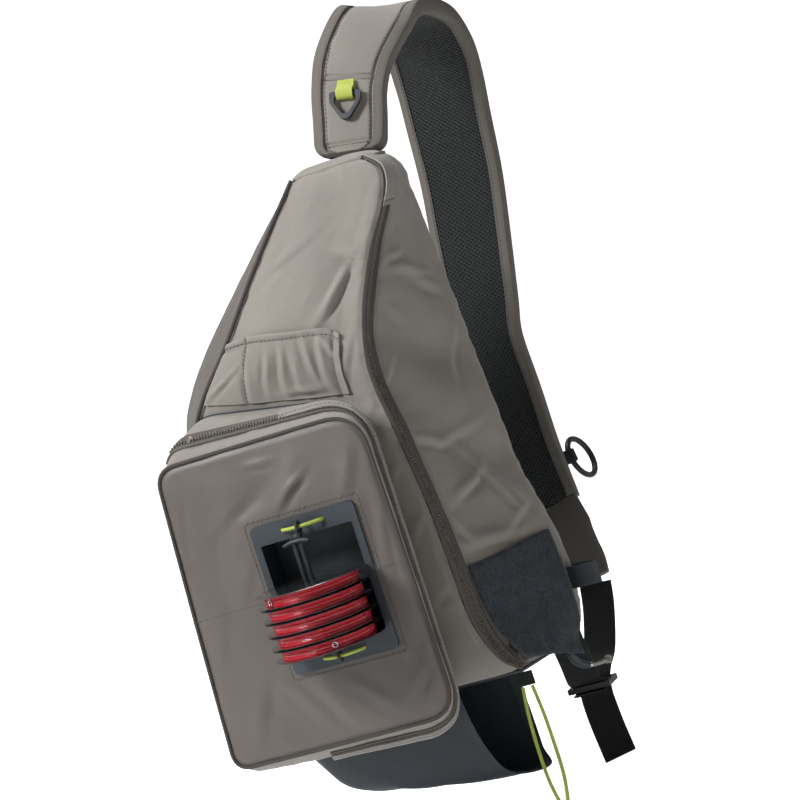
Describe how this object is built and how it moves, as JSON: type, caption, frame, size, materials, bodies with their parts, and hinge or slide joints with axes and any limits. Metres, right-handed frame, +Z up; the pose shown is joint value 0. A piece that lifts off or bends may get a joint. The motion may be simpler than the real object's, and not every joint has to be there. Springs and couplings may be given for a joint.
{
  "type": "fishing tackle sling bag",
  "caption": "Soft sling bag for fishing tackle with one padded shoulder strap, a front pocket that carries a line spool dock, an open sleeve below and a drying patch.",
  "frame": {"origin": "underside of the shoulder strap's highest point, where the bag hangs", "axes": "+X to the right as seen from the front, +Y towards the wearer, +Z up"},
  "size_m": [0.2688, 0.4039, 0.5892],
  "materials": {
    "light_cloth": "woven nylon, light warm grey, matt",
    "dark_cloth": "woven nylon, dark brown grey",
    "pocket_cloth": "coated nylon, dark brown grey, slight sheen",
    "slate_cloth": "coated slate nylon",
    "fleece": "short slate fleece",
    "spacer_mesh": "dark air mesh over foam",
    "black_trim": "black webbing and piping",
    "black_plastic": "moulded black plastic",
    "moulded_slate": "moulded slate panel with a fine grain",
    "lime_cord": "lime woven cord and tape",
    "red_line": "red line on a spool with clear flanges",
    "gunmetal": "dark gunmetal",
    "pull_cord": "mottled light cord"
  },
  "bodies": {
    "bag": {"front_panel": "light_cloth", "gusset_right": "light_cloth", "top_panel": "light_cloth", "slip_pocket": "light_cloth", "zipper_tab": "light_cloth", "pocket_gusset": "light_cloth", "pocket_flap": "light_cloth", "strap_pad": "light_cloth", "side_panel_left": "dark_cloth", "main_zipper": "dark_cloth", "zipper_end": "dark_cloth", "pocket_zipper": "dark_cloth", "strap_binding_left": "dark_cloth", "strap_binding_right": "dark_cloth", "strap_end": "dark_cloth", "pocket_face": "pocket_cloth", "bottom_panel": "slate_cloth", "bottle_sleeve": "slate_cloth", "tool_loop": "slate_cloth", "pocket_back": "slate_cloth", "fly_patch": "fleece", "back_panel": "spacer_mesh", "strap_mesh": "spacer_mesh", "body_piping": "black_trim", "pocket_piping": "black_trim", "strap_webbing": "black_trim", "anchor_webbing": "black_trim", "net_ring_tab": "black_trim", "bungee_tab": "black_trim", "dock_bar": "black_plastic", "strap_adjuster": "black_plastic", "net_ring": "black_plastic", "dock_tray": "moulded_slate", "main_pull_tube": "moulded_slate", "pocket_pull_tube": "moulded_slate", "dock_cord_top": "lime_cord", "dock_cord_bottom": "lime_cord", "bungee_loop": "lime_cord", "d_ring_tab": "lime_cord", "d_ring": "gunmetal", "main_slider": "gunmetal", "pocket_slider": "gunmetal", "main_pull": "pull_cord", "pocket_pull": "pull_cord"},
    "spool_1": {"spool_1": "red_line"},
    "spool_2": {"spool_2": "red_line"},
    "spool_3": {"spool_3": "red_line"},
    "spool_4": {"spool_4": "red_line"},
    "spool_5": {"spool_5": "red_line"}
  },
  "joints": [
    {"name": "spool_1_spin", "type": "hinge", "parent": "bag", "child": "spool_1", "pos_m": [-0.08972, -0.26, -0.3921], "axis": [0, 0, 1], "continuous": true},
    {"name": "spool_2_spin", "type": "hinge", "parent": "bag", "child": "spool_2", "pos_m": [-0.08972, -0.26, -0.3828], "axis": [0, 0, 1], "continuous": true},
    {"name": "spool_3_spin", "type": "hinge", "parent": "bag", "child": "spool_3", "pos_m": [-0.08972, -0.26, -0.3735], "axis": [0, 0, 1], "continuous": true},
    {"name": "spool_4_spin", "type": "hinge", "parent": "bag", "child": "spool_4", "pos_m": [-0.08972, -0.26, -0.3642], "axis": [0, 0, 1], "continuous": true},
    {"name": "spool_5_spin", "type": "hinge", "parent": "bag", "child": "spool_5", "pos_m": [-0.08972, -0.26, -0.3549], "axis": [0, 0, 1], "continuous": true}
  ]
}
